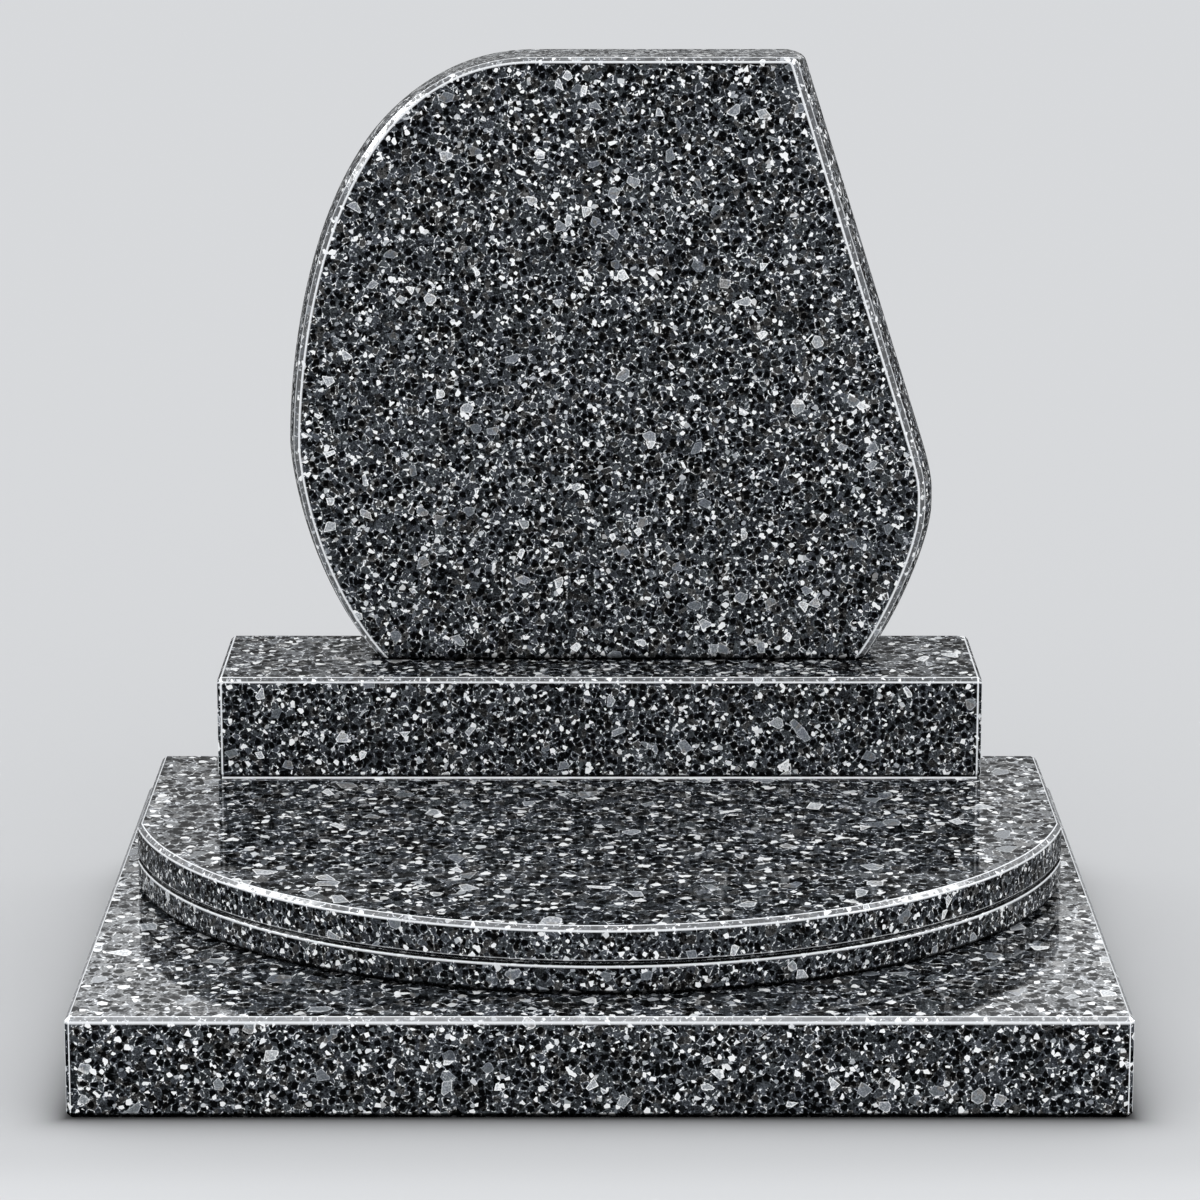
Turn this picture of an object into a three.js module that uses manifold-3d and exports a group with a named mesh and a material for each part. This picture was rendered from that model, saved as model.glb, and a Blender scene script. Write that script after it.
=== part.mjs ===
// A bow-fronted granite memorial: five loose blocks stacked on one another.
// Millimetres, +Z up, the front faces -Y. The origin is on the ground, under the middle of the base slab.

import * as THREE from 'three';
import { mergeVertices } from 'three/addons/utils/BufferGeometryUtils.js';
import Module from 'manifold-3d';

const wasm = await Module();
wasm.setup();

// Joints and arrises. Every exposed edge of a block is cut at 45 degrees, arris back from both faces.
const joint = 0.3;
const arris = 4;

// Base slab: a plain rectangular block.
const baseWidth = 943;
const baseDepth = 826;
const baseHeight = 93;

// Bow-fronted step: two slabs with one outline, straight at the sides and a circular bow in front.
const stepWidth = 890;
const stepSideDepth = 273;
const stepBowRise = 360;
const stepBowFromBaseFront = 65;
const lowerStepHeight = 30;
const upperStepHeight = 34;
const bowSegments = 56;

// Plinth: a block that laps over the back of the step and goes down behind it to the base slab.
const plinthWidth = 762;
const plinthDepth = 199;
const plinthHeight = 103;
const plinthLap = 99;
const plinthFootArris = 3;

// Tablet: heights above its foot, and distances to the right of the memorial's middle.
const tabletHeight = 608;
const tabletThickness = 90;
const tabletSetback = 79;
const tabletCornerRadius = 8;
const footLeft = -218.5;
const footLeftRake = 0.89;
const footLeftReach = 81;
const bulgeX = -305;
const bulgeHeight = 219;
const bulgeReachDown = 20;
const bulgeReachUp = 69;
const crownReach = 223;
const topLeft = -63;
const topRight = 192;
const bendTop = { x: 311, z: 230 };
const bendNose = { x: 325, z: 154 };
const bendReachIn = 49;
const bendReachOut = 23;
const bendReachDown = 34;
const footRight = 263;
const footRightRake = 0.73;
const footRightReach = 42;

// The tablet's sides are cambered: at mid-thickness they stand this much wider than at the faces.
const camberLeft = 7;
const camberRight = 11;
const camberSteps = 6;
const curveSegments = 18;
const sawAllowance = 20;

// Levels and depths worked out from the sizes above.
const baseFront = -baseDepth / 2;
const lowerStepFoot = baseHeight + joint;
const upperStepFoot = lowerStepFoot + lowerStepHeight + joint;
const plinthFoot = upperStepFoot + upperStepHeight + joint;
const tabletFoot = plinthFoot + plinthHeight + joint;
const bowFront = baseFront + stepBowFromBaseFront;
const bowEnds = bowFront + stepBowRise;
const stepBack = bowEnds + stepSideDepth;
const plinthFront = stepBack - plinthLap;
const tabletFront = plinthFront + tabletSetback;

// Polished stone, in the overall tone that the speckled grains give it from a step away.
function polishedStone(color) {
  return new THREE.MeshStandardMaterial({ color, roughness: 0.12, metalness: 0 });
}

// Extrudes a shape to a total height, with an arris round each of its two faces.
function slabWithArrises(shape, height, options = {}) {
  return new THREE.ExtrudeGeometry(shape, {
    depth: height - 2 * arris,
    bevelThickness: arris,
    bevelSize: arris,
    bevelOffset: -arris,
    bevelSegments: 1,
    ...options,
  }).translate(0, 0, arris);
}

// A closed outline through corner points, each corner cut back by the length given for it.
function outlineWithCorners(corners) {
  const shape = new THREE.Shape();
  corners.forEach(({ x, y, cut = arris }, index) => {
    const here = new THREE.Vector2(x, y);
    const before = corners[(index + corners.length - 1) % corners.length];
    const after = corners[(index + 1) % corners.length];
    const towards = (other) => new THREE.Vector2(other.x - x, other.y - y).normalize();
    const arrive = here.clone().addScaledVector(towards(before), cut);
    const leave = here.clone().addScaledVector(towards(after), cut);
    if (index === 0) shape.moveTo(arrive.x, arrive.y);
    else shape.lineTo(arrive.x, arrive.y);
    if (cut > 0) shape.lineTo(leave.x, leave.y);
  });
  shape.closePath();
  return shape;
}

// Base slab

function baseSlab() {
  const halfWidth = baseWidth / 2;
  const halfDepth = baseDepth / 2;
  const plan = outlineWithCorners([
    { x: -halfWidth, y: -halfDepth },
    { x: halfWidth, y: -halfDepth },
    { x: halfWidth, y: halfDepth },
    { x: -halfWidth, y: halfDepth },
  ]);
  return slabWithArrises(plan, baseHeight);
}

// Step slabs

function stepPlan() {
  const half = stepWidth / 2;
  const bowRadius = (half * half + stepBowRise * stepBowRise) / (2 * stepBowRise);
  const bowCentre = bowFront + bowRadius;
  const endAngle = Math.atan2(bowEnds - bowCentre, half);
  const plan = new THREE.Shape();
  plan.moveTo(-half + arris, stepBack);
  plan.lineTo(-half, stepBack - arris);
  plan.lineTo(-half, bowEnds);
  for (let i = 1; i <= bowSegments; i++) {
    const angle = THREE.MathUtils.lerp(-Math.PI - endAngle, endAngle, i / bowSegments);
    plan.lineTo(bowRadius * Math.cos(angle), bowCentre + bowRadius * Math.sin(angle));
  }
  plan.lineTo(half, stepBack - arris);
  plan.lineTo(half - arris, stepBack);
  plan.closePath();
  return plan;
}

function stepSlab(height) {
  return slabWithArrises(stepPlan(), height);
}

// Plinth: its end profile is an L, with the long arm on the step and the short one behind it.

function plinth() {
  const heel = upperStepHeight + lowerStepHeight + 2 * joint;
  const heelFront = plinthLap + joint;
  const profile = outlineWithCorners([
    { x: 0, y: 0, cut: plinthFootArris },
    { x: heelFront, y: 0, cut: 0 },
    { x: heelFront, y: -heel },
    { x: plinthDepth, y: -heel },
    { x: plinthDepth, y: plinthHeight },
    { x: 0, y: plinthHeight },
  ]);
  return slabWithArrises(profile, plinthWidth)
    .translate(0, 0, -plinthWidth / 2)
    .rotateX(Math.PI / 2)
    .rotateZ(Math.PI / 2);
}

// Tablet

function tabletOutline() {
  const outline = new THREE.Shape();
  outline.moveTo(footLeft + sawAllowance * footLeftRake, -sawAllowance);
  outline.lineTo(footRight - sawAllowance * footRightRake, -sawAllowance);
  outline.lineTo(footRight, 0);
  outline.bezierCurveTo(
    footRight + footRightReach * footRightRake, footRightReach,
    bendNose.x, bendNose.z - bendReachDown,
    bendNose.x, bendNose.z,
  );
  const rake = (bendTop.x - topRight) / (tabletHeight - bendTop.z);
  outline.bezierCurveTo(
    bendNose.x, bendNose.z + bendReachOut,
    bendTop.x + bendReachIn * rake, bendTop.z - bendReachIn,
    bendTop.x, bendTop.z,
  );
  const drop = tabletCornerRadius / Math.hypot(1, rake);
  outline.lineTo(topRight + drop * rake, tabletHeight - drop);
  outline.quadraticCurveTo(topRight, tabletHeight, topRight - tabletCornerRadius, tabletHeight);
  outline.lineTo(topLeft, tabletHeight);
  outline.bezierCurveTo(
    topLeft - crownReach, tabletHeight,
    bulgeX, bulgeHeight + bulgeReachUp,
    bulgeX, bulgeHeight,
  );
  outline.bezierCurveTo(
    bulgeX, bulgeHeight - bulgeReachDown,
    footLeft - footLeftReach * footLeftRake, footLeftReach,
    footLeft, 0,
  );
  outline.closePath();
  return outline;
}

// Pushes the sides outwards, most at mid-thickness and nothing at the two faces.
function addCamber(geometry) {
  const position = geometry.attributes.position;
  for (let i = 0; i < position.count; i++) {
    const x = position.getX(i);
    const acrossThickness = (2 * position.getZ(i)) / tabletThickness - 1;
    const fromLeft = THREE.MathUtils.clamp((x - footLeft) / (topRight - footLeft), 0, 1);
    const fullCamber = THREE.MathUtils.lerp(-camberLeft, camberRight, fromLeft);
    position.setX(i, x + fullCamber * (1 - acrossThickness * acrossThickness));
  }
  return geometry;
}

function tablet() {
  const extruded = slabWithArrises(tabletOutline(), tabletThickness, { steps: camberSteps, curveSegments });
  const upright = addCamber(extruded).rotateX(Math.PI / 2).translate(0, tabletThickness, 0);
  const belowFoot = new THREE.BoxGeometry(baseWidth, baseDepth, 2 * sawAllowance);
  belowFoot.translate(0, 0, -sawAllowance);
  return toGeometry(toSolid(upright).subtract(toSolid(belowFoot)));
}

// A closed mesh as a solid that can be cut, and back again.

function toSolid(geometry) {
  const bare = geometry.clone();
  bare.deleteAttribute('normal');
  bare.deleteAttribute('uv');
  const welded = mergeVertices(bare, 1e-4);
  return new wasm.Manifold(new wasm.Mesh({
    numProp: 3,
    vertProperties: new Float32Array(welded.attributes.position.array),
    triVerts: new Uint32Array(welded.index.array),
  }));
}

function toGeometry(solid) {
  const mesh = solid.getMesh();
  const geometry = new THREE.BufferGeometry();
  geometry.setAttribute('position', new THREE.BufferAttribute(mesh.vertProperties, 3));
  geometry.setIndex(new THREE.BufferAttribute(mesh.triVerts, 1));
  geometry.computeVertexNormals();
  return geometry;
}

// The stack

const headstone = new THREE.Group();

function place(name, geometry, y, z) {
  const mesh = new THREE.Mesh(geometry, polishedStone(0x4b4d50));
  mesh.name = name;
  mesh.position.set(0, y, z);
  headstone.add(mesh);
}

place('base_slab', baseSlab(), 0, 0);
place('lower_step', stepSlab(lowerStepHeight), 0, lowerStepFoot);
place('upper_step', stepSlab(upperStepHeight), 0, upperStepFoot);
place('plinth', plinth(), plinthFront, plinthFoot);
place('tablet', tablet(), tabletFront, tabletFoot);

export default headstone;
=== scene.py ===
"""A bow-fronted granite memorial: five polished blocks stacked on one another, in a pale studio.

Metres, +Z up, the front faces -Y. The origin is on the ground, under the middle of the base slab.
"""

import logging
import math
from dataclasses import dataclass, replace
from enum import Enum

import bmesh
import bpy
from mathutils import Euler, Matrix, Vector


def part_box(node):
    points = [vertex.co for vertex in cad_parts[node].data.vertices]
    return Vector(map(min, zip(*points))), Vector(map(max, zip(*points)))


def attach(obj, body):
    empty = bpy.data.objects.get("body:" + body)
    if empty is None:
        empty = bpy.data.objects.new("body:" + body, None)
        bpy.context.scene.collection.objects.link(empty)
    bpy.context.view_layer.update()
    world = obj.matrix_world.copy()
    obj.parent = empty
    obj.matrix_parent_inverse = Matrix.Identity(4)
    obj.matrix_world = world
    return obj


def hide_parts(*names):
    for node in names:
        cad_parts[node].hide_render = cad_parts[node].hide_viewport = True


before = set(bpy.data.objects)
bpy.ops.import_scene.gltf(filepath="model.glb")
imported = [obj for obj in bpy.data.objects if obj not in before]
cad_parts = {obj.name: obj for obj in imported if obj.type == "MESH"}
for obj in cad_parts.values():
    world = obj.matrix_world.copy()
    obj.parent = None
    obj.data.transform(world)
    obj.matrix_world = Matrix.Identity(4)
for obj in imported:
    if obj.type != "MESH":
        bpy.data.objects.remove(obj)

log = logging.getLogger("memorial")
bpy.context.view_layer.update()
RIGHT = Vector((1, 0, 0))
BACK = Vector((0, 1, 0))
UP = Vector((0, 0, 1))

# The arrises, in metres: the length cut back from each face, the radius that softens each border, how far
# the softening runs along the faces, and the inset at which a softened corner has grown sharp.
ARRIS_LEG = 0.004
BORDER_RADIUS = 0.002
BORDER_REACH = BORDER_RADIUS * math.tan(math.pi / 8)
BORDER_STEPS = 4
TIGHTEST_INSET = 0.0055

# The attribute that holds the painted light along the arrises, painted highlight where it is above 0 and
# painted shade where it is below 0, and how sharply it falls off beside a border.
PAINTED_LIGHT = "painted_light"
PAINTED_LIGHT_FALL = 0.6

Socket = bpy.types.NodeSocket
Span = tuple[float, float]
Rgba = tuple[float, float, float, float]
WHITE: Rgba = (1, 1, 1, 1)
BLACK: Rgba = (0, 0, 0, 1)


class Value:
    """A number that varies over a surface, with Python arithmetic that adds Math nodes."""

    def __init__(self, graph: "Graph", socket: Socket) -> None:
        """Wraps one output.

        Args:
            graph: the material that the socket belongs to.
            socket: an output that gives a number.
        """
        self.graph = graph
        self.socket = socket

    def math(self, operation: str, *others: "Value | float") -> "Value":
        """Adds one Math node.

        Args:
            operation: the Math node's operation.
            others: the numbers after this one.

        Returns:
            The result.
        """
        inputs = dict(enumerate((self, *others)))
        return self.graph.value("ShaderNodeMath", {"operation": operation}, inputs)

    def __add__(self, other: "Value | float") -> "Value":
        """Returns self + other."""
        return self.math("ADD", other)

    def __sub__(self, other: "Value | float") -> "Value":
        """Returns self - other."""
        return self.math("SUBTRACT", other)

    def __mul__(self, other: "Value | float") -> "Value":
        """Returns self * other."""
        return self.math("MULTIPLY", other)

    def __rsub__(self, other: float) -> "Value":
        """Returns other - self."""
        return self.graph.value("ShaderNodeMath", {"operation": "SUBTRACT"}, {0: other, 1: self})

    __radd__ = __add__
    __rmul__ = __mul__

    def step(self, low: float, high: float) -> "Value":
        """A smooth step.

        Args:
            low: where the step is 0. It may be above high, for a falling step.
            high: where the step is 1.

        Returns:
            A number from 0 to 1.
        """
        settings = {"interpolation_type": "SMOOTHSTEP"}
        return self.graph.value("ShaderNodeMapRange", settings, {"Value": self, 1: low, 2: high})

    def absolute(self) -> "Value":
        """Returns the number without its sign."""
        return self.math("ABSOLUTE")

    def positive(self) -> "Value":
        """Returns the number, or 0 where it is below 0."""
        return self.math("MAXIMUM", 0.0)


class Graph:
    """The nodes of one material or world."""

    def __init__(self, tree: bpy.types.NodeTree) -> None:
        """Starts with no nodes.

        Args:
            tree: the node tree to fill.
        """
        tree.nodes.clear()
        self.tree = tree

    @staticmethod
    def material(name: str) -> "tuple[bpy.types.Material, Graph]":
        """Makes a new material.

        Args:
            name: its name.

        Returns:
            The material and its nodes.
        """
        made = bpy.data.materials.new(name)
        made.use_nodes = True
        return made, Graph(made.node_tree)

    def node(self, kind: str, settings: dict | None = None, inputs: dict | None = None) -> bpy.types.Node:
        """Adds one node.

        Args:
            kind: the node's type.
            settings: its options, set first. "stops" gives a ramp's positions and tones.
            inputs: values or links for its sockets, by name or number.

        Returns:
            The node.
        """
        made = self.tree.nodes.new(kind)
        for name, setting in (settings or {}).items():
            if name == "stops":
                self.fill_ramp(made.color_ramp, setting)
            else:
                setattr(made, name, setting)
        for name, given in (inputs or {}).items():
            socket = made.inputs[name]
            source = given.socket if isinstance(given, Value) else given
            if isinstance(source, Socket):
                self.tree.links.new(source, socket)
            else:
                socket.default_value = source
        return made

    @staticmethod
    def fill_ramp(ramp: bpy.types.ColorRamp, stops: list[Span]) -> None:
        """Sets a ramp's stops.

        Args:
            ramp: the ramp of a new node, which has two stops.
            stops: pairs of position and grey tone.
        """
        while len(ramp.elements) < len(stops):
            ramp.elements.new(1.0)
        for element, (position, tone) in zip(ramp.elements, stops):
            element.position = position
            element.color = (tone, tone, tone, 1)

    def value(self, kind: str, settings: dict | None = None, inputs: dict | None = None) -> Value:
        """Adds one node, as node does, and returns its first output."""
        return Value(self, self.node(kind, settings, inputs).outputs[0])

    def vector(self, operation: str, first: Socket, second: "Socket | tuple[float, ...]") -> Socket:
        """Adds one Vector Math node.

        Args:
            operation: the node's operation.
            first: the first vector.
            second: the second vector.

        Returns:
            The resulting vector.
        """
        settings = {"operation": operation}
        return self.node("ShaderNodeVectorMath", settings, {0: first, 1: second}).outputs[0]

    def parts(self, point: Socket) -> list[Value]:
        """Returns the three coordinates of a point."""
        return [Value(self, part) for part in self.node("ShaderNodeSeparateXYZ", None, {0: point}).outputs]

    def mix(self, factor: Value, first: "Socket | Rgba", second: "Socket | Rgba") -> Socket:
        """Mixes two colours.

        Args:
            factor: how much of the second shows.
            first: the colour at factor 0.
            second: the colour at factor 1.

        Returns:
            The mixed colour.
        """
        settings = {"data_type": "RGBA"}
        return self.node("ShaderNodeMix", settings, {0: factor, 6: first, 7: second}).outputs[2]

    def show(self, shader: bpy.types.Node, output: str = "ShaderNodeOutputMaterial") -> None:
        """Links a shader to the output of the material or world."""
        self.node(output, None, {"Surface": shader.outputs[0]})


class Cells(Enum):
    """What to read of a field of crystals."""

    TONES = "F1"
    EDGES = "DISTANCE_TO_EDGE"


@dataclass(frozen=True)
class Granite:
    """Polished dark granite: interlocked grains with pale rims, black grains, white flecks and crystals.

    A size is the mean distance between neighbouring grains of a kind, in metres, and a share is the part of
    the grains that show something. A tone is the darkest one and how much more the lightest has. An edge is
    where a smooth step starts and ends. The curve turns the tone of the speckle into its lightness.
    """

    grain: float = 0.0068
    speck: float = 0.0044
    fleck: float = 0.0033
    crystal: float = 0.0092
    wander: float = 0.00884
    warp: float = 0.0036
    mottle: float = 0.0015
    mottle_detail: float = 1.5
    patch: float = 0.0036
    patch_detail: float = 1.0
    core_share: float = 0.44
    black_share: float = 0.21
    fleck_share: float = 0.044
    bright_share: float = 0.026
    crystal_share: float = 0.027
    warm_share: float = 0.2
    share_softness: float = 0.01
    core_softness: float = 0.08
    grain_tone: Span = (0.15, 0.24)
    bright_tone: Span = (0.70, 0.35)
    fleck_tone: Span = (0.66, 0.42)
    crystal_tone: Span = (0.49, 0.30)
    rim_tone: float = 0.45
    border_tone: float = 0.12
    core_depth: float = 0.88
    black_depth: float = 0.9
    grain_mottle: float = 0.65
    core_mottle: float = 0.5
    rim_mottle: float = 0.6
    crystal_mottle: float = 0.4
    core_edge: Span = (0.54, 0.42)
    rim_edge: Span = (0.10, 0.025)
    patch_edge: Span = (0.42, 0.60)
    black_edge: Span = (0.50, 0.40)
    border_edge: Span = (0.10, 0.05)
    white_edge: Span = (0.45, 0.9)
    gloss_edge: Span = (0.08, 0.40)
    level_edge: Span = (0.85, 0.95)
    level_scale: Span = (0.62, 0.50)
    # Painted light along the arrises: the pale tone of the painted highlights, how black the painted shade
    # is, and how much of the coat the painted shade takes away.
    arris_highlight_tone: Rgba = (0.93, 0.94, 0.96, 1)
    painted_shade_depth: float = 0.96
    painted_shade_dullness: float = 0.85
    gloss: Span = (0.24, 1.0)
    roughness: float = 0.6
    coat_roughness: float = 0.045
    relief: float = 0.00001
    ior: float = 1.5
    cool: Rgba = (0.88, 0.97, 1.15, 1)
    green: Rgba = (0.90, 1.01, 1.06, 1)
    warm: Rgba = (1.01, 1.00, 0.99, 1)
    curve: tuple[Span, ...] = (
        (0.0, 0.001), (0.1, 0.006), (0.2, 0.018), (0.3, 0.040), (0.4, 0.074),
        (0.5, 0.123), (0.6, 0.205), (0.7, 0.400), (0.85, 1.000), (1.0, 1.000),
    )

    def field(self, graph: Graph, place: Socket, size: float, kind: Cells) -> bpy.types.Node:
        """One field of crystals.

        Args:
            graph: the material's nodes.
            place: the point on the stone.
            size: the crystals' size.
            kind: whether random tones or distances to the crystals' edges are read.

        Returns:
            The texture node.
        """
        settings = {"voronoi_dimensions": "3D", "feature": kind.value}
        return graph.node("ShaderNodeTexVoronoi", settings, {"Vector": place, "Scale": 1 / size})

    def crystals(self, graph: Graph, place: Socket, size: float) -> tuple[list[Value], Value]:
        """The random numbers and the distance from the middle of each crystal in one field.

        Args:
            graph: the material's nodes.
            place: the point on the stone.
            size: the crystals' size.

        Returns:
            Three random numbers, and the distance in crystal sizes.
        """
        found = self.field(graph, place, size, Cells.TONES).outputs
        parts = graph.node("ShaderNodeSeparateColor", None, {0: found["Color"]}).outputs
        return [Value(graph, part) for part in parts], Value(graph, found["Distance"])

    def border(self, graph: Graph, place: Socket, size: float) -> Value:
        """Returns the distance to the edge of each crystal in one field, in crystal sizes."""
        return Value(graph, self.field(graph, place, size, Cells.EDGES).outputs["Distance"])

    def cloud(self, graph: Graph, place: Socket, size: float, detail: float) -> Value:
        """Soft mottling.

        Args:
            graph: the material's nodes.
            place: the point on the stone.
            size: the size of the mottles.
            detail: how many finer layers it has.

        Returns:
            A number round 0.5.
        """
        inputs = {"Vector": place, "Scale": 1 / size, "Detail": detail}
        return graph.value("ShaderNodeTexNoise", None, inputs)

    def place(self, graph: Graph, point: Socket, facing: Socket) -> Socket:
        """Lets the grains run longer on level faces, where they are seen at a flat angle.

        Args:
            graph: the material's nodes.
            point: the point on the stone.
            facing: the direction that the surface has there.

        Returns:
            The point at which the speckle is read.
        """
        level = graph.parts(facing)[2].absolute().step(*self.level_edge)
        across, along = self.level_scale
        scales = {0: 1 - level * (1 - across), 1: 1 - level * (1 - along), 2: 1.0}
        return graph.vector("MULTIPLY", point, graph.node("ShaderNodeCombineXYZ", None, scales).outputs[0])

    def warped(self, graph: Graph, point: Socket) -> Socket:
        """Moves the point a little to and fro, so that no grain has straight sides.

        Args:
            graph: the material's nodes.
            point: the point on the stone.

        Returns:
            The moved point.
        """
        drift = graph.node("ShaderNodeTexNoise", None, {"Vector": point, "Scale": 1 / self.wander})
        shift = graph.vector("SUBTRACT", drift.outputs["Color"], (0.5, 0.5, 0.5))
        return graph.vector("ADD", point, graph.vector("MULTIPLY", shift, (self.warp,) * 3))

    def chance(self, number: Value, share: float) -> Value:
        """Returns a mask that shows the given share of the grains, from their random numbers."""
        return number.step(share + self.share_softness, share)

    def ground(self, graph: Graph, place: Socket, fine: Value, patch: Value) -> tuple[Value, Value]:
        """The body of the stone: grey grains, many with a dark core, between thin pale rims.

        Args:
            graph: the material's nodes.
            place: the warped point.
            fine: a fine mottle round 0.
            patch: a broad mottle round 0.5, which says where the rims show.

        Returns:
            The tone, and a random number for the grain there.
        """
        (shade, pick, kind), middle = self.crystals(graph, place, self.grain)
        darkest, lighter = self.grain_tone
        cored = pick.step(self.core_share + self.core_softness, self.core_share)
        core = cored * (middle + fine * self.core_mottle).step(*self.core_edge)
        rim = self.border(graph, place, self.grain).step(*self.rim_edge) * patch.step(*self.patch_edge)
        tone = (darkest + lighter * shade + fine * self.grain_mottle) * (1 - self.core_depth * core)
        return tone + rim * (self.rim_tone + fine * self.rim_mottle), kind

    def specks(self, graph: Graph, place: Socket, tone: Value) -> Value:
        """Adds black and white grains of middle size.

        Args:
            graph: the material's nodes.
            place: the point on the stone.
            tone: the tone so far.

        Returns:
            The tone with them.
        """
        (pick, other_pick, shade), middle = self.crystals(graph, place, self.speck)
        darkest, lighter = self.bright_tone
        black = self.chance(other_pick, self.black_share) * middle.step(*self.black_edge)
        white = self.chance(pick, self.bright_share) * (darkest + lighter * shade)
        return (tone * (1 - self.black_depth * black)).math("MAXIMUM", white)

    def flecks(self, graph: Graph, place: Socket, tone: Value) -> Value:
        """Adds small white flecks.

        Args:
            graph: the material's nodes.
            place: the point on the stone.
            tone: the tone so far.

        Returns:
            The tone with them.
        """
        (pick, _, shade), _ = self.crystals(graph, place, self.fleck)
        darkest, lighter = self.fleck_tone
        return tone.math("MAXIMUM", self.chance(pick, self.fleck_share) * (darkest + lighter * shade))

    def large(self, graph: Graph, place: Socket, tone: Value, fine: Value) -> Value:
        """Adds large pale crystals that are lighter at their borders.

        Args:
            graph: the material's nodes.
            place: the point on the stone.
            tone: the tone so far.
            fine: a fine mottle round 0.

        Returns:
            The tone with them.
        """
        (pick, shade, _), _ = self.crystals(graph, place, self.crystal)
        darkest, lighter = self.crystal_tone
        border = self.border(graph, place, self.crystal).step(*self.border_edge)
        inside = darkest + lighter * shade + border * self.border_tone + fine * self.crystal_mottle
        return tone + self.chance(pick, self.crystal_share) * (inside - tone)

    def coloured(self, graph: Graph, tone: Value, kind: Value) -> Socket:
        """Turns the tone of the speckle into a colour. Only grains that aren't white are tinted.

        Args:
            graph: the material's nodes.
            tone: the tone of the speckle.
            kind: a random number for the grain there.

        Returns:
            The stone's colour.
        """
        ramp = graph.node("ShaderNodeValToRGB", {"stops": list(self.curve)}, {"Fac": tone})
        tint = graph.mix(kind, self.cool, self.green)
        tint = graph.mix(self.chance(1 - kind, self.warm_share), tint, self.warm)
        tint = graph.mix(tone.step(*self.white_edge), tint, WHITE)
        return graph.vector("MULTIPLY", ramp.outputs[0], tint)

    def material(self, name: str, quarry_offset: tuple[float, float, float]) -> bpy.types.Material:
        """Makes the finish of one block.

        Args:
            name: the material's name.
            quarry_offset: where in the rock the block was cut, so that no grain runs on into a neighbour.

        Returns:
            The material.
        """
        material, graph = Graph.material(name)
        where = graph.node("ShaderNodeTexCoord").outputs
        point = self.place(graph, where["Object"], where["Normal"])
        point = graph.vector("ADD", point, quarry_offset)
        fine = self.cloud(graph, point, self.mottle, self.mottle_detail) - 0.5
        patch = self.cloud(graph, point, self.patch, self.patch_detail)
        tone, kind = self.ground(graph, self.warped(graph, point), fine, patch)
        tone = self.flecks(graph, point, self.specks(graph, point, tone))
        tone = self.large(graph, point, tone, fine)
        # Painted light along the arrises: above 0 the colour turns to the pale tone of a painted highlight,
        # below 0 it turns black as painted shade and loses most of its coat.
        painted_light_mark = Value(graph, graph.node("ShaderNodeAttribute", {"attribute_name": PAINTED_LIGHT}).outputs["Fac"])
        shade = (painted_light_mark * -1).positive()
        colour = graph.mix(painted_light_mark.positive(), self.coloured(graph, tone, kind), self.arris_highlight_tone)
        colour = graph.mix(shade * self.painted_shade_depth, colour, BLACK)
        dull, bright = self.gloss
        polish = dull + (bright - dull) * tone.step(*self.gloss_edge)
        gloss = polish * (1 - self.painted_shade_dullness * shade)
        relief = graph.node("ShaderNodeBump", None, {"Height": fine, "Distance": self.relief})
        shader = graph.node(
            "ShaderNodeBsdfPrincipled",
            None,
            {
                "Base Color": colour,
                "Roughness": self.roughness,
                "Specular IOR Level": 0.0,
                "Coat Weight": gloss,
                "Coat Roughness": self.coat_roughness,
                "Coat IOR": self.ior,
                "Normal": relief.outputs[0],
            },
        )
        graph.show(shader)
        return material


@dataclass(frozen=True)
class Station:
    """A point of an outline that can be moved inwards.

    Attributes:
        at: the point, or the corner that a softened stretch goes round.
        arrive: the outward direction of the outline just before it.
        leave: the outward direction just after it.
        mitre: how the corner moves outwards when both its sides do, by one unit.
        soft: the radius of the softened stretch, 0 at a plain point.
        painted_light: the painted highlight on the border here, from 0 to 1.
    """

    at: Vector
    arrive: Vector
    leave: Vector
    mitre: Vector
    soft: float = 0.0
    painted_light: float = 0.0

    @staticmethod
    def smooth(at: Vector, outward: Vector) -> "Station":
        """A point where the outline runs on smoothly."""
        return Station(at, outward, outward, outward)

    @staticmethod
    def sharp(at: Vector, arrive: Vector, leave: Vector) -> "Station":
        """A plain corner."""
        return Station(at, arrive, leave, mitre_of(arrive, leave))

    def inset(self, distance: float) -> Vector:
        """The point moved inwards. A softened stretch grows tighter as it goes.

        Args:
            distance: how far the sides beside it move.

        Returns:
            The moved point.
        """
        radius = self.soft * max(1 - distance / TIGHTEST_INSET, 0)
        return self.at - self.mitre * (distance + radius) + self.arrive * radius


def mitre_of(arrive: Vector, leave: Vector) -> Vector:
    """How a corner moves when both its sides, which face the given ways, move out by one unit."""
    return (arrive + leave) / (1 + arrive.dot(leave))


def outward_of(along: Vector) -> Vector:
    """The outward direction of an outline that runs anticlockwise along the given direction."""
    return Vector((along.y, -along.x)).normalized()


def arc(centre: Vector, radius: float, start: float, end: float, steps: int) -> list[Station]:
    """A circular stretch of an outline.

    Args:
        centre: the circle's centre.
        radius: its radius.
        start: the first angle, in radians.
        end: the last angle, larger than the first.
        steps: how many chords it has.

    Returns:
        The stations, both ends among them.
    """
    made = []
    for i in range(steps + 1):
        angle = start + (end - start) * i / steps
        outward = Vector((math.cos(angle), math.sin(angle)))
        made.append(Station.smooth(centre + radius * outward, outward))
    return made


def bezier(points: list[Vector], steps: int) -> list[Station]:
    """A cubic or quadratic Bezier stretch of an outline.

    Args:
        points: its control points.
        steps: how many chords it has.

    Returns:
        The stations, both ends among them.
    """
    made = []
    for i in range(steps + 1):
        t = i / steps
        level = list(points)
        while len(level) > 2:
            level = [a.lerp(b, t) for a, b in zip(level, level[1:])]
        made.append(Station.smooth(level[0].lerp(level[1], t), outward_of(level[1] - level[0])))
    return made


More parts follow.
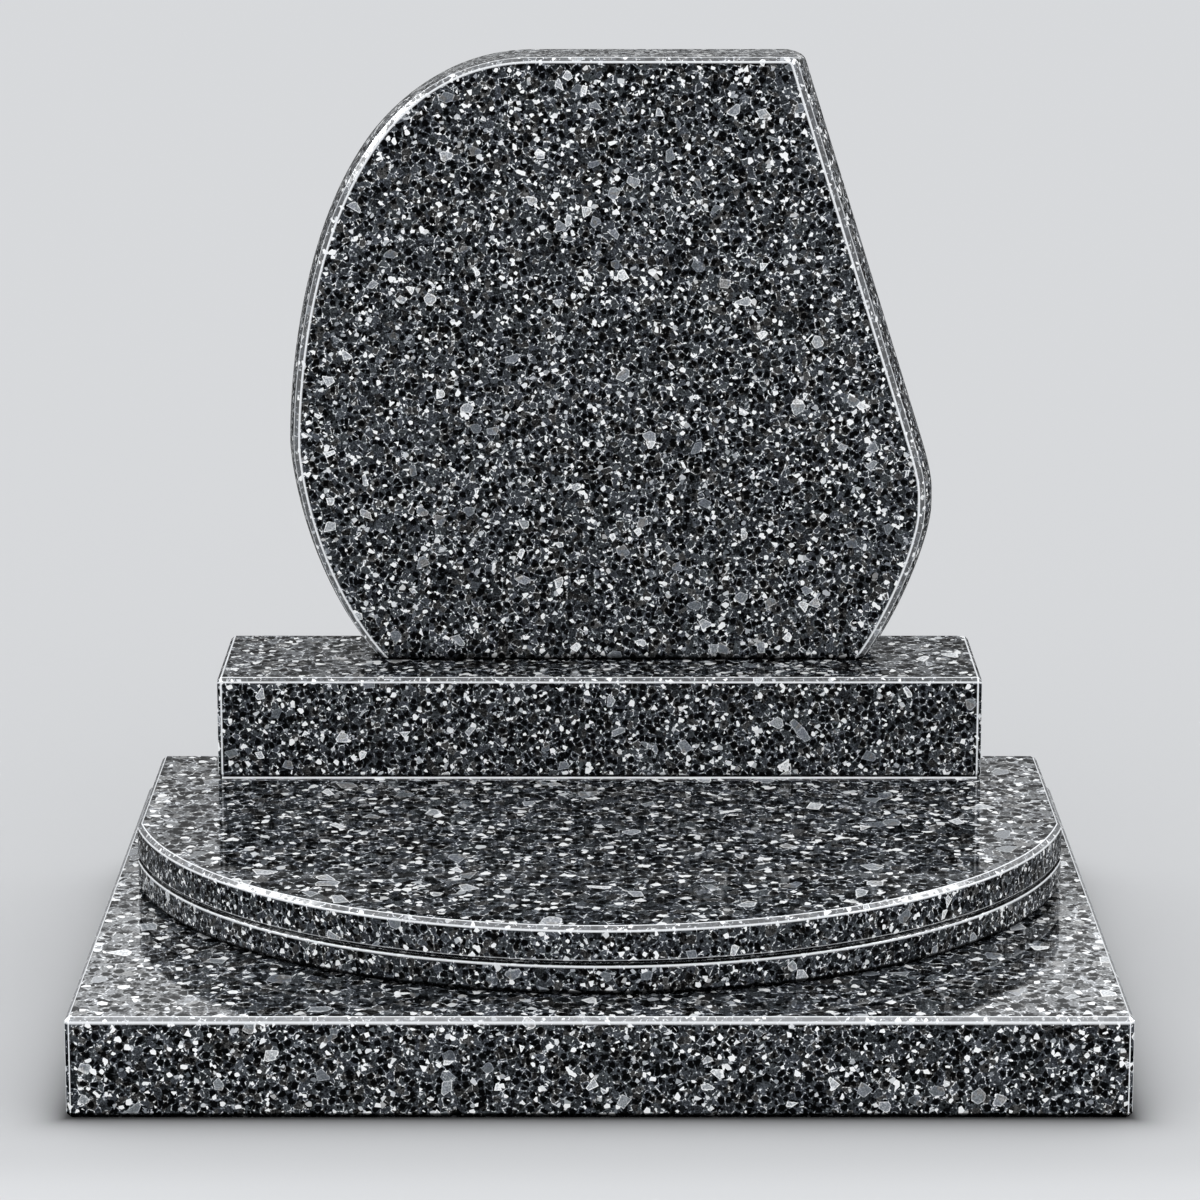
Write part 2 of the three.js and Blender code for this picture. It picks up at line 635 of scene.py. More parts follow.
@dataclass(frozen=True)
class Corner:
    """A right-angled corner of an outline, cut back at 45 degrees.

    Attributes:
        at: where the two sides would meet.
        cut: how far it is cut back along each side, 0 for a plain corner.
        painted_light: how pale the painted highlight on the cut's two borders is, or below 0 how dark its
            painted shade is.
        middle: how pale the painted highlight on the cut between them is, or below 0 how dark its painted
            shade is.
        margin: how far the painted light runs on over the sides before and after it.
    """

    at: Span
    cut: float = ARRIS_LEG
    painted_light: Span = (1.0, 1.0)
    middle: float = 0.0
    margin: Span = (0.0, 0.0)

    def stations(self, before: Vector, after: Vector) -> list[Station]:
        """The corner's stretch of the outline.

        Args:
            before: the direction in which the outline arrives.
            after: the direction in which it leaves.

        Returns:
            The stations.
        """
        here = Vector(self.at)
        first, last = outward_of(before), outward_of(after)
        if self.cut == 0:
            return [Station.sharp(here, first, last)]
        middle = (first + last).normalized()
        opening = self.soften(here - self.cut * before, first, middle, self.painted_light[0], self.margin[0])
        closing = self.soften(here + self.cut * after, last, middle, self.painted_light[1], self.margin[1])
        return opening + closing[::-1]

    def soften(self, at: Vector, side: Vector, cut: Vector, painted_light: float, margin: float) -> list[Station]:
        """Rounds one border of the cut.

        Args:
            at: where the border would be.
            side: the outward direction of the side.
            cut: the outward direction of the cut.
            painted_light: how pale the painted highlight on the border is.
            margin: how far the painted light runs on over the side.

        Returns:
            The stations, from the side to the cut.
        """
        mitre = mitre_of(side, cut)
        made = []
        if margin:
            over = (side * side.dot(cut) - cut).normalized()
            made.append(Station(at + over * (BORDER_REACH + margin), side, side, mitre))
        for i in range(BORDER_STEPS + 1):
            share = i / BORDER_STEPS
            outward = side.slerp(cut, share)
            shown = border_painted_light(share, painted_light, self.middle, margin > 0)
            made.append(Station(at, outward, outward, mitre, BORDER_RADIUS, shown))
        return made


def polygon(corners: list[Corner]) -> list[Station]:
    """An anticlockwise outline of straight sides.

    Args:
        corners: its corners, in order.

    Returns:
        The stations.
    """
    made = []
    for i, corner in enumerate(corners):
        here = Vector(corner.at)
        before = here - Vector(corners[i - 1].at)
        after = Vector(corners[(i + 1) % len(corners)].at) - here
        made += corner.stations(before.normalized(), after.normalized())
    return made


def border_painted_light(share: float, border: float, cut: float, wide: bool) -> float:
    """The painted light on a softened border at one place: painted highlight above 0, painted shade below
    0.

    Args:
        share: from 0 at the face beside it to 1 at the cut.
        border: how pale the painted highlight on the border is.
        cut: how pale the painted highlight on the cut beside it is, or below 0 how dark its painted shade
            is.
        wide: whether the painted light runs on over the face.

    Returns:
        From -1 to 1.
    """
    hump = math.sin(math.pi * share) ** PAINTED_LIGHT_FALL if 0 < share < 1 else 0.0
    if wide:
        hump = max(hump, 1 - share)
    return border * hump + cut * share * (1 - hump)


@dataclass(frozen=True)
class Level:
    """One level of an arris: how far in and how deep it is, which way it faces, and its painted light."""

    inset: float
    below: float
    flat: float
    rise: float
    painted_light: float
    corner_painted_light: float


@dataclass(frozen=True)
class Arris:
    """A cut at 45 degrees round a block's face, with softened borders.

    Attributes:
        side_painted_light: how pale the painted highlight on its border with the sides is, or below 0 how
            dark its painted shade is.
        face_painted_light: how pale the painted highlight on its border with the face is.
        cut_painted_light: how pale the painted highlight on the cut between them is, or below 0 how dark
            its painted shade is.
        side_margin: how far the painted light runs on over the sides.
        face_margin: how far the painted light runs on over the face.
        leg: how far it is cut back along both.
    """

    side_painted_light: float = 1.0
    face_painted_light: float = 1.0
    cut_painted_light: float = 0.0
    side_margin: float = 0.0
    face_margin: float = 0.0
    leg: float = ARRIS_LEG

    def levels(self) -> list[Level]:
        """The arris from the sides to the face.

        Returns:
            Its levels.
        """
        depth = self.leg + BORDER_REACH
        made = []
        if self.side_margin:
            made.append(Level(0, depth + self.side_margin, 1, 0, 0, 1))
        for i in range(BORDER_STEPS + 1):
            share = i / BORDER_STEPS
            flat, rise = math.cos(share * math.pi / 4), math.sin(share * math.pi / 4)
            painted_light = border_painted_light(share, self.side_painted_light, self.cut_painted_light, self.side_margin > 0)
            inset, below = BORDER_RADIUS * (1 - flat), depth - BORDER_RADIUS * rise
            made.append(Level(inset, below, flat, rise, painted_light, 1))
        for i in range(BORDER_STEPS + 1):
            share = 1 - i / BORDER_STEPS
            flat, rise = math.sin(share * math.pi / 4), math.cos(share * math.pi / 4)
            painted_light = border_painted_light(share, self.face_painted_light, self.cut_painted_light, self.face_margin > 0)
            inset, below = depth - BORDER_RADIUS * flat, BORDER_RADIUS * (1 - rise)
            made.append(Level(inset, below, flat, rise, painted_light, share))
        if self.face_margin:
            made.append(Level(depth + self.face_margin, 0, 0, 1, 0, 0))
        return made


@dataclass(frozen=True)
class Axes:
    """Where an outline lies in space: its origin and its two directions."""

    origin: Vector
    across: Vector
    along: Vector

    def place(self, point: Vector, height: float) -> Vector:
        """A point of the outline, raised by a height."""
        return self.origin + self.turn(point, height)

    def turn(self, flat: Vector, rise: float) -> Vector:
        """A direction from its part in the outline's plane and its part across it."""
        return self.across * flat.x + self.along * flat.y + self.across.cross(self.along) * rise


@dataclass(frozen=True)
class Knot:
    """A point of a block's skin: its place, the directions on its two sides and its painted light."""

    at: Vector
    arrive: Vector
    leave: Vector
    painted_light: float = 0.0


class Skin:
    """The faces of one closed block, with true directions on every corner."""

    def __init__(self) -> None:
        """Starts with no faces."""
        self.places: dict[tuple[float, ...], int] = {}
        self.painted_light: list[float] = []
        self.faces: list[list[int]] = []
        self.directions: list[Vector] = []

    def index(self, knot: Knot) -> int:
        """Finds or adds a point.

        Args:
            knot: the point.

        Returns:
            Its number.
        """
        key = tuple(round(part, 7) for part in knot.at)
        number = self.places.setdefault(key, len(self.places))
        if number == len(self.painted_light):
            self.painted_light.append(0.0)
        self.painted_light[number] = max(self.painted_light[number], knot.painted_light, key=abs)
        return number

    def face(self, corners: list[tuple[Knot, Vector]]) -> None:
        """Adds one face, unless it has shrunk to a line.

        Args:
            corners: its points and the direction at each, anticlockwise.
        """
        kept: dict[int, Vector] = {}
        for knot, direction in corners:
            kept.setdefault(self.index(knot), direction)
        if len(kept) > 2:
            self.faces.append(list(kept))
            self.directions += kept.values()

    def strip(self, low: list[Knot], high: list[Knot], closed: bool = True) -> None:
        """Fills the band between two rings.

        Args:
            low: the first ring.
            high: the ring outside or above it, with as many points.
            closed: whether the band goes all the way round.
        """
        rows = list(zip(low, low[1:] + low[:1], high[1:] + high[:1], high))
        for a, b, c, d in rows if closed else rows[:-1]:
            self.face([(a, a.leave), (b, b.arrive), (c, c.arrive), (d, d.leave)])

    def stack(self, rings: list[list[Knot]], closed: bool = True) -> None:
        """Fills the bands between rings and closes the two ends with flat faces.

        Args:
            rings: the rings, from the foot to the top.
            closed: whether the bands go all the way round.
        """
        for low, high in zip(rings, rings[1:]):
            self.strip(low, high, closed)
        self.flat(rings[0][::-1])
        self.flat(rings[-1])

    def flat(self, ring: list[Knot]) -> None:
        """Adds one flat face."""
        self.face([(knot, knot.arrive) for knot in ring])

    def piece(self, name: str) -> bpy.types.Object:
        """Makes the block's object.

        Args:
            name: its name.

        Returns:
            The new object.
        """
        mesh = bpy.data.meshes.new(name)
        mesh.from_pydata(list(self.places), [], self.faces)
        mesh.attributes.new(PAINTED_LIGHT, "FLOAT", "POINT").data.foreach_set("value", self.painted_light)
        mesh.shade_smooth()
        mesh.normals_split_custom_set([direction.normalized() for direction in self.directions])
        made = bpy.data.objects.new(name, mesh)
        bpy.context.scene.collection.objects.link(made)
        return made


def raise_block(outline: list[Station], axes: Axes, height: float, foot: Arris,
                top: Arris) -> list[list[Knot]]:
    """Raises an outline into a block with an arris round its foot and its top.

    Args:
        outline: the block's outline at its widest.
        axes: where the outline lies.
        height: how far it is raised.
        foot: the arris round its foot.
        top: the arris round its top.

    Returns:
        The block's rings, from its foot to its top.
    """
    made = []
    for end, start, levels in ((-1, 0.0, foot.levels()[::-1]), (1, height, top.levels())):
        for level in levels:
            made.append([
                Knot(
                    axes.place(station.inset(level.inset), start - end * level.below),
                    axes.turn(station.arrive * level.flat, end * level.rise),
                    axes.turn(station.leave * level.flat, end * level.rise),
                    max(level.painted_light, station.painted_light * level.corner_painted_light, key=abs),
                )
                for station in outline
            ])
    return made


@dataclass
class Block:
    """A block of the memorial, which takes its place and size from its node in the frame."""

    node: str
    slot: str
    finish: Granite
    quarry_offset: tuple[float, float, float]
    # Painted highlights along the borders of the top arris with a light cut between them; painted shade in
    # black along the foot.
    top: Arris = Arris(side_margin=0.0010, cut_painted_light=0.14)
    foot: Arris = Arris(side_painted_light=-1.0, face_painted_light=0.0, cut_painted_light=-1.0, side_margin=0.0008)

    def __post_init__(self) -> None:
        """Reads the node's corners."""
        self.low, self.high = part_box(self.node)

    def skin(self) -> Skin:
        """The block's skin. Each kind of block has its own."""
        raise NotImplementedError

    def level_slab(self, outline: list[Station]) -> Skin:
        """Raises a plan through the block's height.

        Args:
            outline: the plan.

        Returns:
            The slab's skin.
        """
        axes = Axes(UP * self.low.z, RIGHT, BACK)
        made = Skin()
        made.stack(raise_block(outline, axes, self.high.z - self.low.z, self.foot, self.top))
        return made

    def build(self) -> bpy.types.Object:
        """Makes the block, dresses it and sets it in the frame.

        Returns:
            The piece.
        """
        piece = self.skin().piece(self.node + "_polished")
        piece.data.materials.append(self.finish.material(self.node + "_granite", self.quarry_offset))
        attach(piece, "root")
        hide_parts(self.node)
        log.info("%s: %d faces", piece.name, len(piece.data.polygons))
        return piece


@dataclass
class BaseSlab(Block):
    """The broad rectangular slab under everything."""

    def skin(self) -> Skin:
        """Raises a rectangle with cut corners.

        Returns:
            The slab's skin.
        """
        low, high = self.low, self.high
        corners = ((low.x, low.y), (high.x, low.y), (high.x, high.y), (low.x, high.y))
        return self.level_slab(polygon([Corner(at) for at in corners]))


@dataclass
class BowStep(Block):
    """One slab of the step: straight at the sides and the back, with a circular bow in front."""

    bow_rise: float = 0.360
    bow_chords: int = 128

    def skin(self) -> Skin:
        """Raises the bow-fronted plan, with its two back corners cut.

        Returns:
            The slab's skin.
        """
        half = (self.high.x - self.low.x) / 2
        radius = (half ** 2 + self.bow_rise ** 2) / (2 * self.bow_rise)
        centre = Vector((0, self.low.y + radius))
        end = math.atan2(self.low.y + self.bow_rise - centre.y, half)
        outline = arc(centre, radius, -math.pi - end, end, self.bow_chords)
        first, last = outline[0], outline[-1]
        outline[0] = Station.sharp(first.at, Vector((-1, 0)), first.leave)
        outline[-1] = Station.sharp(last.at, last.arrive, Vector((1, 0)))
        away, left, forward = Vector((0, 1)), Vector((-1, 0)), Vector((0, -1))
        outline += Corner((half, self.high.y)).stations(away, left)
        outline += Corner((-half, self.high.y)).stations(left, forward)
        return self.level_slab(outline)


@dataclass
class Plinth(Block):
    """The long block under the tablet, which laps over the step and goes down behind it.

    Attributes:
        joint: the gap between the blocks.
        foot_cut: how far the front's foot is cut back.
        heel_highlight: how pale the painted highlight on the border above the heel's cut of painted shade
            is.
        top_highlight: how pale the painted highlight on the cut along the front's top is.
        margin: how far the painted light of the borders runs on over the faces.
        highlight_bead_depth: how far the pale bead under the front, a painted highlight line, goes in.
        highlight_bead_height: how high it comes up in the cut at the foot.
    """

    joint: float = 0.0003
    foot_cut: float = 0.003
    heel_highlight: float = 0.35
    top_highlight: float = 0.10
    margin: float = 0.0008
    highlight_bead_depth: float = 0.0030
    highlight_bead_height: float = 0.0014

    def skin(self) -> Skin:
        """Draws the end profile, which is an L, out along the plinth's length.

        Returns:
            The plinth's skin.
        """
        _, step_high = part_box("upper_step")
        lap = step_high.y + self.joint
        seat = step_high.z + self.joint
        front, back, top, heel = self.low.y, self.high.y, self.high.z, self.low.z
        # Painted shade in black on the cuts at the front's foot and at the heel; painted highlights on the
        # other borders.
        profile = polygon([
            Corner((front, seat), self.foot_cut, painted_light=(-1.0, 0.0), middle=-1.0, margin=(self.margin, 0.0)),
            Corner((lap, seat), 0.0),
            Corner((lap, heel)),
            Corner((back, heel), painted_light=(self.heel_highlight, 0.0), middle=-1.0),
            Corner((back, top), margin=(self.margin, 0.0)),
            Corner((front, top), middle=self.top_highlight, margin=(0.0, self.margin)),
        ])
        axes = Axes(RIGHT * self.low.x, BACK, UP)
        ends = Arris(side_margin=self.margin)
        made = Skin()
        made.stack(raise_block(profile, axes, self.high.x - self.low.x, ends, ends))
        self.add_highlight_bead(made, Vector((front, step_high.z)))
        return made

    def add_highlight_bead(self, skin: Skin, foot: Vector) -> None:
        """Adds a thin pale bead along the foot of the front, a painted highlight line.

        Args:
            skin: the plinth's skin.
            foot: the depth of the front and the level of the step.
        """
        rise = Vector((0, self.joint + self.highlight_bead_height))
        start = foot + Vector((0, self.joint / 2))
        back = Vector((self.highlight_bead_depth, 0))
        section = [start, start + back, start + back + rise, start + back / 3 + rise, start + rise / 2]
        rings = []
        for x in (self.low.x + ARRIS_LEG, self.high.x - ARRIS_LEG):
            rings.append([Vector((x, point.x, point.y)) for point in section])
        count = len(section)
        for i in range(count):
            k = (i + 1) % count
            corners = [rings[0][i], rings[0][k], rings[1][k], rings[1][i]]
            facing = (corners[1] - corners[0]).cross(RIGHT)
            skin.face([(Knot(at, facing, facing, 1.0), facing) for at in corners])
        skin.flat([Knot(at, -RIGHT, -RIGHT, 1.0) for at in rings[0][::-1]])
        skin.flat([Knot(at, RIGHT, RIGHT, 1.0) for at in rings[1]])


@dataclass
class Tablet(Block):
    """The upright stone. Heights are above its foot, and sideways places are from the middle.

    A rake is how far a side runs outwards for each metre of height, a reach is how far a curve's control
    point stands off its end, and chords are the straight parts that a curve is drawn with.
    """

    foot_left: float = -0.2185
    foot_left_rake: float = 0.89
    foot_left_reach: float = 0.081
    bulge: Span = (-0.305, 0.219)
    bulge_reach_down: float = 0.020
    bulge_reach_up: float = 0.069
    crown_reach: float = 0.223
    top_left: float = -0.063
    top_right: float = 0.192
    bend_top: Span = (0.311, 0.230)
    bend_nose: Span = (0.325, 0.154)
    bend_reach_in: float = 0.049
    bend_reach_out: float = 0.023
    bend_reach_down: float = 0.034
    foot_right: float = 0.263
    foot_right_rake: float = 0.73
    foot_right_reach: float = 0.042
    camber_left: float = 0.007
    camber_right: float = 0.011
    top_corner: float = 0.008
    below_foot: float = 0.020
    foot_cut: float = 0.0025
    foot_chords: int = 24
    bend_chords: int = 16
    corner_chords: int = 8
    crown_chords: int = 72
    left_chords: int = 32
    side_steps: int = 12
    # Painted highlight lines along the borders of the face's arris, with a faint painted highlight on the
    # cut between them.
    face: Arris = Arris(side_painted_light=0.7, cut_painted_light=0.12, face_margin=0.0012)

    def outline(self) -> list[Station]:
        """The front outline, from the right foot over the top to the left foot.

        Returns:
            The stations. The first and the last lie below the foot.
        """
        height = self.high.z - self.low.z
        nose, bend = Vector(self.bend_nose), Vector(self.bend_top)
        rake = (bend.x - self.top_right) / (height - bend.y)
        foot = Vector((self.foot_right, 0))
        out = Vector((self.foot_right_rake, 1))
        made = [Station.smooth(foot - self.below_foot * out, outward_of(out))]
        reaches = [foot + self.foot_right_reach * out, nose - Vector((0, self.bend_reach_down))]
        made += bezier([foot, *reaches, nose], self.foot_chords)[1:]
        reaches = [nose + Vector((0, self.bend_reach_out)), bend + self.bend_reach_in * Vector((rake, -1))]
        made += bezier([nose, *reaches, bend], self.bend_chords)[1:]
        corner = Vector((self.top_right, height))
        drop = self.top_corner / math.hypot(1, rake)
        ends = corner + drop * Vector((rake, -1)), corner - Vector((self.top_corner, 0))
        made += bezier([ends[0], corner, ends[1]], self.corner_chords)
        crown, bulge = Vector((self.top_left, height)), Vector(self.bulge)
        reaches = [crown - Vector((self.crown_reach, 0)), bulge + Vector((0, self.bulge_reach_up))]
        made += bezier([crown, *reaches, bulge], self.crown_chords)
        foot = Vector((self.foot_left, 0))
        out = Vector((self.foot_left_rake, -1))
        reaches = [bulge - Vector((0, self.bulge_reach_down)), foot - self.foot_left_reach * out]
        made += bezier([bulge, *reaches, foot], self.left_chords)[1:-1]
        made.append(Station.smooth(foot + self.below_foot * out, outward_of(out)))
        return made

    def bowed(self, knot: Knot, across: float) -> Knot:
        """Moves a point of the skin outwards by the camber of the sides.

        Args:
            knot: the point on the straight-sided stone.
            across: from -1 at the back face to 1 at the front.

        Returns:
            The moved point.
        """
        span = self.top_right - self.foot_left
        share = min(max((knot.at.x - self.foot_left) / span, 0), 1)
        camber = -self.camber_left + (self.camber_left + self.camber_right) * share
        slope = camber * 4 * across / (self.high.y - self.low.y)
        moved = knot.at + RIGHT * camber * (1 - across ** 2)
        turned = (knot.leave - BACK * slope * knot.leave.x).normalized()
        return Knot(moved, turned, turned, knot.painted_light)

    def trimmed(self, ring: list[Knot]) -> list[Knot]:
        """Cuts one ring level just above the foot.

        Args:
            ring: a ring whose first and last points lie below the foot.

        Returns:
            The ring with those two points moved up.
        """
        made = list(ring)
        for end, inner in ((0, 1), (-1, -2)):
            low, high = ring[end], ring[inner]
            share = (self.low.z + self.foot_cut - low.at.z) / (high.at.z - low.at.z)
            made[end] = Knot(low.at.lerp(high.at, share), low.arrive, low.leave, high.painted_light)
        return made

    def close_foot(self, skin: Skin, rings: list[list[Knot]]) -> None:
        """Cuts the foot's edge back, paints that cut black as painted shade, and closes it with a flat
        face.

        Args:
            skin: the tablet's skin.
            rings: its rings, from the back to the front.
        """
        rim, sole = [], []
        for knot in [ring[0] for ring in rings[::-1]] + [ring[-1] for ring in rings]:
            out = (knot.leave - UP * knot.leave.z).normalized()
            facing = out - UP
            rim.append(Knot(knot.at, facing, facing, -1.0))
            sole.append(Knot(knot.at - (out + UP) * self.foot_cut, facing, facing, -1.0))
        skin.strip(sole, rim)
        skin.flat([Knot(knot.at, -UP, -UP) for knot in sole[::-1]])

    def skin(self) -> Skin:
        """Makes the cambered stone with its flat foot.

        Returns:
            The tablet's skin.
        """
        thickness = self.high.y - self.low.y
        axes = Axes(Vector((0, self.high.y, self.low.z)), RIGHT, UP)
        rims = raise_block(self.outline(), axes, thickness, self.face, self.face)
        half = len(rims) // 2
        sides = []
        for i in range(1, self.side_steps):
            pairs = zip(rims[half - 1], rims[half])
            sides.append([Knot(a.at.lerp(b.at, i / self.side_steps), a.arrive, a.leave) for a, b in pairs])
        rings = []
        for ring in rims[:half] + sides + rims[half:]:
            across = 2 * (self.high.y - ring[0].at.y) / thickness - 1
            rings.append(self.trimmed([self.bowed(knot, across) for knot in ring]))
        made = Skin()
        made.stack(rings, closed=False)
        self.close_foot(made, rings)
        return made


@dataclass
class Memorial:
    """The whole stack.

    Attributes:
        finish: the granite.
        step_rock: the shares of grains with a dark core and of black grains in the step, which make it
            darker than the base and the tablet.
        plinth_rock: the same shares in the plinth, which make it darker still.
        joint_leg: how far the two arrises in the step's joint are cut back.
    """

    finish: Granite
    step_rock: Span = (0.49, 0.23)
    plinth_rock: Span = (0.55, 0.26)
    joint_leg: float = 0.0025

    def darker(self, rock: Span) -> Granite:
        """Returns the granite with other shares of dark cores and black grains."""
        return replace(self.finish, core_share=rock[0], black_share=rock[1])

    def build(self) -> list[bpy.types.Object]:
        """Makes every block, from the ground up.

        Returns:
            The pieces.
        """
        step, plinth = self.darker(self.step_rock), self.darker(self.plinth_rock)
        tablet = replace(self.finish, level_scale=(1.0, 1.0))
        # Painted highlights along every block's arrises; in the step's joint, painted shade on the lower
        # slab's top cut and on the upper slab's foot cut, with a pale border above it.
        blocks = [
            BaseSlab("base_slab", "granite_slab", self.finish, (0.31, 0.72, 0.15),
                     top=Arris(cut_painted_light=0.28, side_margin=0.0020)),
            BowStep("lower_step", "granite_step", step, (1.43, 0.26, 0.87),
                    top=Arris(face_painted_light=0.0, cut_painted_light=-1.0, side_margin=0.0014, leg=self.joint_leg)),
            BowStep("upper_step", "granite_step", step, (0.58, 1.91, 0.0854),
                    foot=Arris(side_painted_light=0.5, face_painted_light=0.0, cut_painted_light=-0.9, leg=self.joint_leg)),
            Plinth("plinth", "granite_plinth", plinth, (1.913, 1.2243, 0.357)),
            Tablet("tablet", "granite_tablet", tablet, (3.05, 0.64, 1.76)),
        ]
        return [block.build() for block in blocks]


@dataclass(frozen=True)
class Mirrored:
    """What the polish mirrors: a dim floor, a wall that grows lighter upwards, and two side lamps.

    Each glow is a brightness. Every other field is an edge, where a smooth step starts and ends, measured
    in parts of the shell's radius upwards, back or to the side. A flag keeps one spot of the wall dark.
    """

    floor_glow: float = 0.05
    back_floor_glow: float = 0.15
    floor_back: Span = (-0.1, 0.5)
    floor_rise: Span = (-0.80, -0.35)
    wall_glow: float = 0.27
    wall_rise: Span = (-0.02, 0.05)
    band_glow: float = 0.48
    band_rise: Span = (0.225, 0.245)
    upper_glow: float = 0.80
    upper_rise: Span = (0.266, 0.275)
    wall_back: Span = (-0.1, 0.3)
    ceiling_glow: float = 1.9
    ceiling_rise: Span = (0.55, 0.90)
    lamp_glow: float = 24.0
    lamp_foot: Span = (0.30, 0.38)
    lamp_head: Span = (0.78, 0.72)
    lamp_side: Span = (0.52, 0.60)
    lamp_depth: Span = (0.42, 0.34)
    flag_cover: float = 0.85
    flag_foot: Span = (0.257, 0.260)
    flag_head: Span = (0.281, 0.278)
    flag_side: Span = (0.085, 0.080)
    flag_back: Span = (0.0, 0.1)

    def glow(self, graph: Graph, radius: float) -> Value:
        """How brightly the shell glows.

        Args:
            graph: the shell's material.
            radius: the shell's radius.

        Returns:
            The strength of its light.
        """
        point = graph.node("ShaderNodeTexCoord").outputs["Object"]
        x, y, z = (part * (1 / radius) for part in graph.parts(point))
        side = x.absolute()
        floor = self.floor_glow + self.back_floor_glow * y.step(*self.floor_back)
        wall = self.wall_glow * z.step(*self.wall_rise) + self.band_glow * z.step(*self.band_rise)
        wall = wall + self.upper_glow * z.step(*self.upper_rise)
        ceiling = self.ceiling_glow * z.step(*self.ceiling_rise)
        lamp = z.step(*self.lamp_foot) * z.step(*self.lamp_head)
        lamp = lamp * side.step(*self.lamp_side) * y.absolute().step(*self.lamp_depth)
        flag = z.step(*self.flag_foot) * z.step(*self.flag_head) * side.step(*self.flag_side)
        flag = flag * y.step(*self.flag_back)
        total = floor * z.step(*self.floor_rise) + wall * y.step(*self.wall_back) + ceiling
        return (total + self.lamp_glow * lamp) * (1 - self.flag_cover * flag)


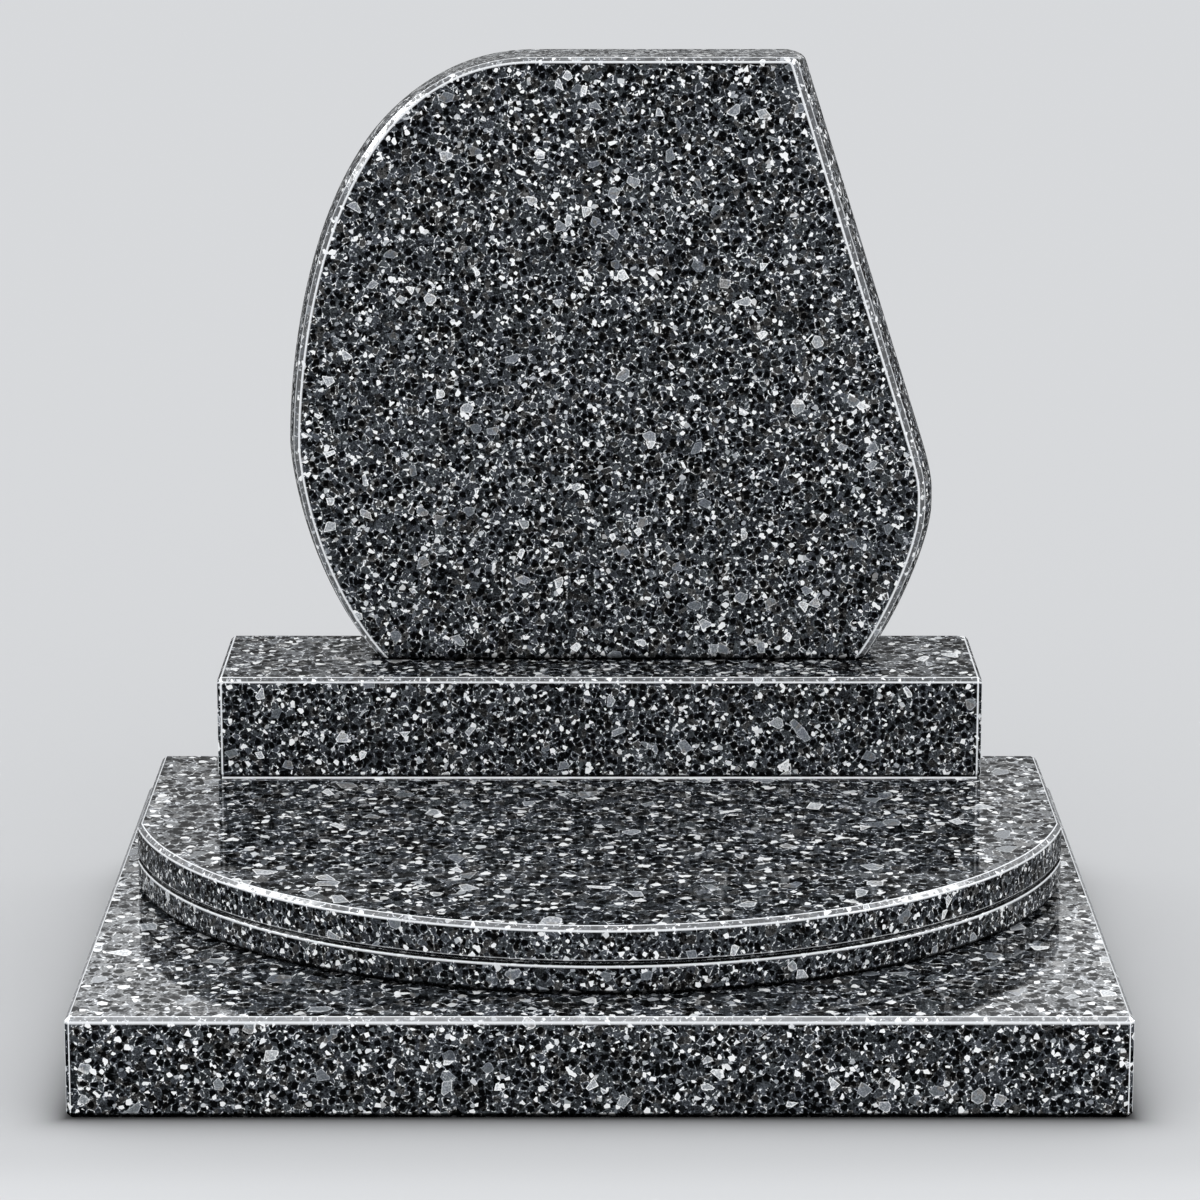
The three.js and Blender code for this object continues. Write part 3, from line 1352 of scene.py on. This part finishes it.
@dataclass
class Studio:
    """A pale floor under soft, even light, with the camera in front of the memorial.

    Attributes:
        sky: how bright the even light is.
        cast: its colour.
        floor_tone: how pale the floor is.
        floor_blue: how much bluer than grey it is.
        painted_near_light: how much paler it is in front, a painted pool of light, from where near_floor
            starts.
        painted_contact_shade: how dark its painted shade is against the base slab.
        painted_contact_reach: how far from the slab the painted shade has faded to about a third.
        wall_light: how bright the wall is that the camera sees.
        round_points: how many points the floor's rim and the shell's rings have.
    """

    mirrored: Mirrored = Mirrored()
    sky: float = 1.25
    cast: Rgba = (0.975, 0.992, 1.008, 1)
    floor_tone: float = 0.56
    floor_blue: float = 1.01
    floor_radius: float = 40.0
    painted_near_light: float = 1.12
    near_floor: Span = (0.50, 0.62)
    painted_contact_shade: float = 0.80
    painted_contact_reach: float = 0.018
    shell_radius: float = 60.0
    wall_gap: float = 1.0
    wall_light: float = 0.69
    round_points: int = 96
    camera_distance: float = 4.0508
    camera_aside: float = 0.0005
    camera_height: float = 1.338
    camera_pitch: float = 12.11
    lens: float = 144.0
    sensor: float = 36.0

    def build(self) -> None:
        """Sets up the floor, the light and the camera."""
        self.floor()
        self.daylight()
        self.surroundings()
        self.camera()

    def disc(self, name: str, radius: float, material: bpy.types.Material) -> bpy.types.Object:
        """A round sheet on the ground.

        Args:
            name: its name.
            radius: its radius.
            material: its finish.

        Returns:
            The sheet.
        """
        turns = [math.tau * i / self.round_points for i in range(self.round_points)]
        rim = [(radius * math.cos(turn), radius * math.sin(turn), 0) for turn in turns]
        mesh = bpy.data.meshes.new(name)
        mesh.from_pydata(rim, [], [list(range(self.round_points))])
        mesh.materials.append(material)
        made = bpy.data.objects.new(name, mesh)
        bpy.context.scene.collection.objects.link(made)
        return made

    def grey(self, tone: float) -> Rgba:
        """Returns the floor's colour in one tone."""
        return (tone, tone, self.floor_blue * tone, 1)

    def floor(self) -> None:
        """A matt pale floor that polished faces don't mirror, with painted shade close round the base slab
        and a painted pool of light in front.
        """
        material, graph = Graph.material("pale_floor")
        x, y, _ = graph.parts(graph.node("ShaderNodeTexCoord").outputs["Object"])
        _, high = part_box("base_slab")
        over_x = (x.absolute() - high.x).positive()
        over_y = (y.absolute() - high.y).positive()
        away = (over_x * over_x + over_y * over_y).math("SQRT")
        # Painted shade round the base slab, and a painted pool of light further in front.
        shade = self.painted_contact_shade * (away * (-1 / self.painted_contact_reach)).math("EXPONENT")
        near = (y * -1).step(*self.near_floor)
        colour = graph.mix(near, self.grey(self.floor_tone), self.grey(self.painted_near_light * self.floor_tone))
        colour = graph.mix(shade, colour, BLACK)
        graph.show(graph.node("ShaderNodeBsdfDiffuse", None, {"Color": colour}))
        made = self.disc("floor", self.floor_radius, material)
        made.visible_glossy = False

    def daylight(self) -> None:
        """Even light from all over the sky."""
        world = bpy.data.worlds.new("studio")
        bpy.context.scene.world = world
        world.use_nodes = True
        graph = Graph(world.node_tree)
        shader = graph.node("ShaderNodeBackground", None, {"Color": self.cast, "Strength": self.sky})
        graph.show(shader, "ShaderNodeOutputWorld")

    def shell(self, name: str, radius: float, mirrored: Mirrored | None = None) -> bpy.types.Object:
        """A glowing sphere round the studio, which only the camera and the polish see.

        Args:
            name: its name.
            radius: its radius.
            mirrored: how it glows, or nothing for the even light of the wall.

        Returns:
            The sphere.
        """
        material, graph = Graph.material(name)
        strength = mirrored.glow(graph, radius) if mirrored else self.wall_light
        graph.show(graph.node("ShaderNodeEmission", None, {"Color": self.cast, "Strength": strength}))
        mesh = bpy.data.meshes.new(name)
        made = bpy.data.objects.new(name, mesh)
        bpy.context.scene.collection.objects.link(made)
        cage = bmesh.new()
        count = self.round_points
        bmesh.ops.create_uvsphere(cage, u_segments=count, v_segments=count // 2, radius=radius)
        cage.to_mesh(mesh)
        cage.free()
        mesh.shade_smooth()
        material.cycles.emission_sampling = "NONE"
        mesh.materials.append(material)
        made.visible_shadow = False
        made.visible_diffuse = False
        made.visible_transmission = False
        made.visible_volume_scatter = False
        return made

    def surroundings(self) -> None:
        """The shell that the polish mirrors, and the pale wall that the camera sees."""
        made = self.shell("mirrored_studio", self.shell_radius, self.mirrored)
        made.visible_camera = False
        made = self.shell("pale_wall", self.shell_radius + self.wall_gap)
        made.visible_glossy = False

    def camera(self) -> None:
        """The camera, at the height and distance that the photograph was taken from."""
        low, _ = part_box("base_slab")
        data = bpy.data.cameras.new("camera")
        data.lens = self.lens
        data.sensor_width = self.sensor
        data.clip_end = 4 * self.shell_radius
        made = bpy.data.objects.new("camera", data)
        made.location = (self.camera_aside, low.y - self.camera_distance, self.camera_height)
        made.rotation_euler = Euler((math.radians(90 - self.camera_pitch), 0, 0))
        bpy.context.scene.collection.objects.link(made)
        bpy.context.scene.camera = made


def main() -> None:
    """Builds the memorial and the studio round it."""
    logging.basicConfig(level=logging.INFO, format="%(name)s: %(message)s")
    bpy.context.scene.view_settings.view_transform = "Standard"
    Memorial(Granite()).build()
    Studio().build()


if __name__ == "__main__":
    main()
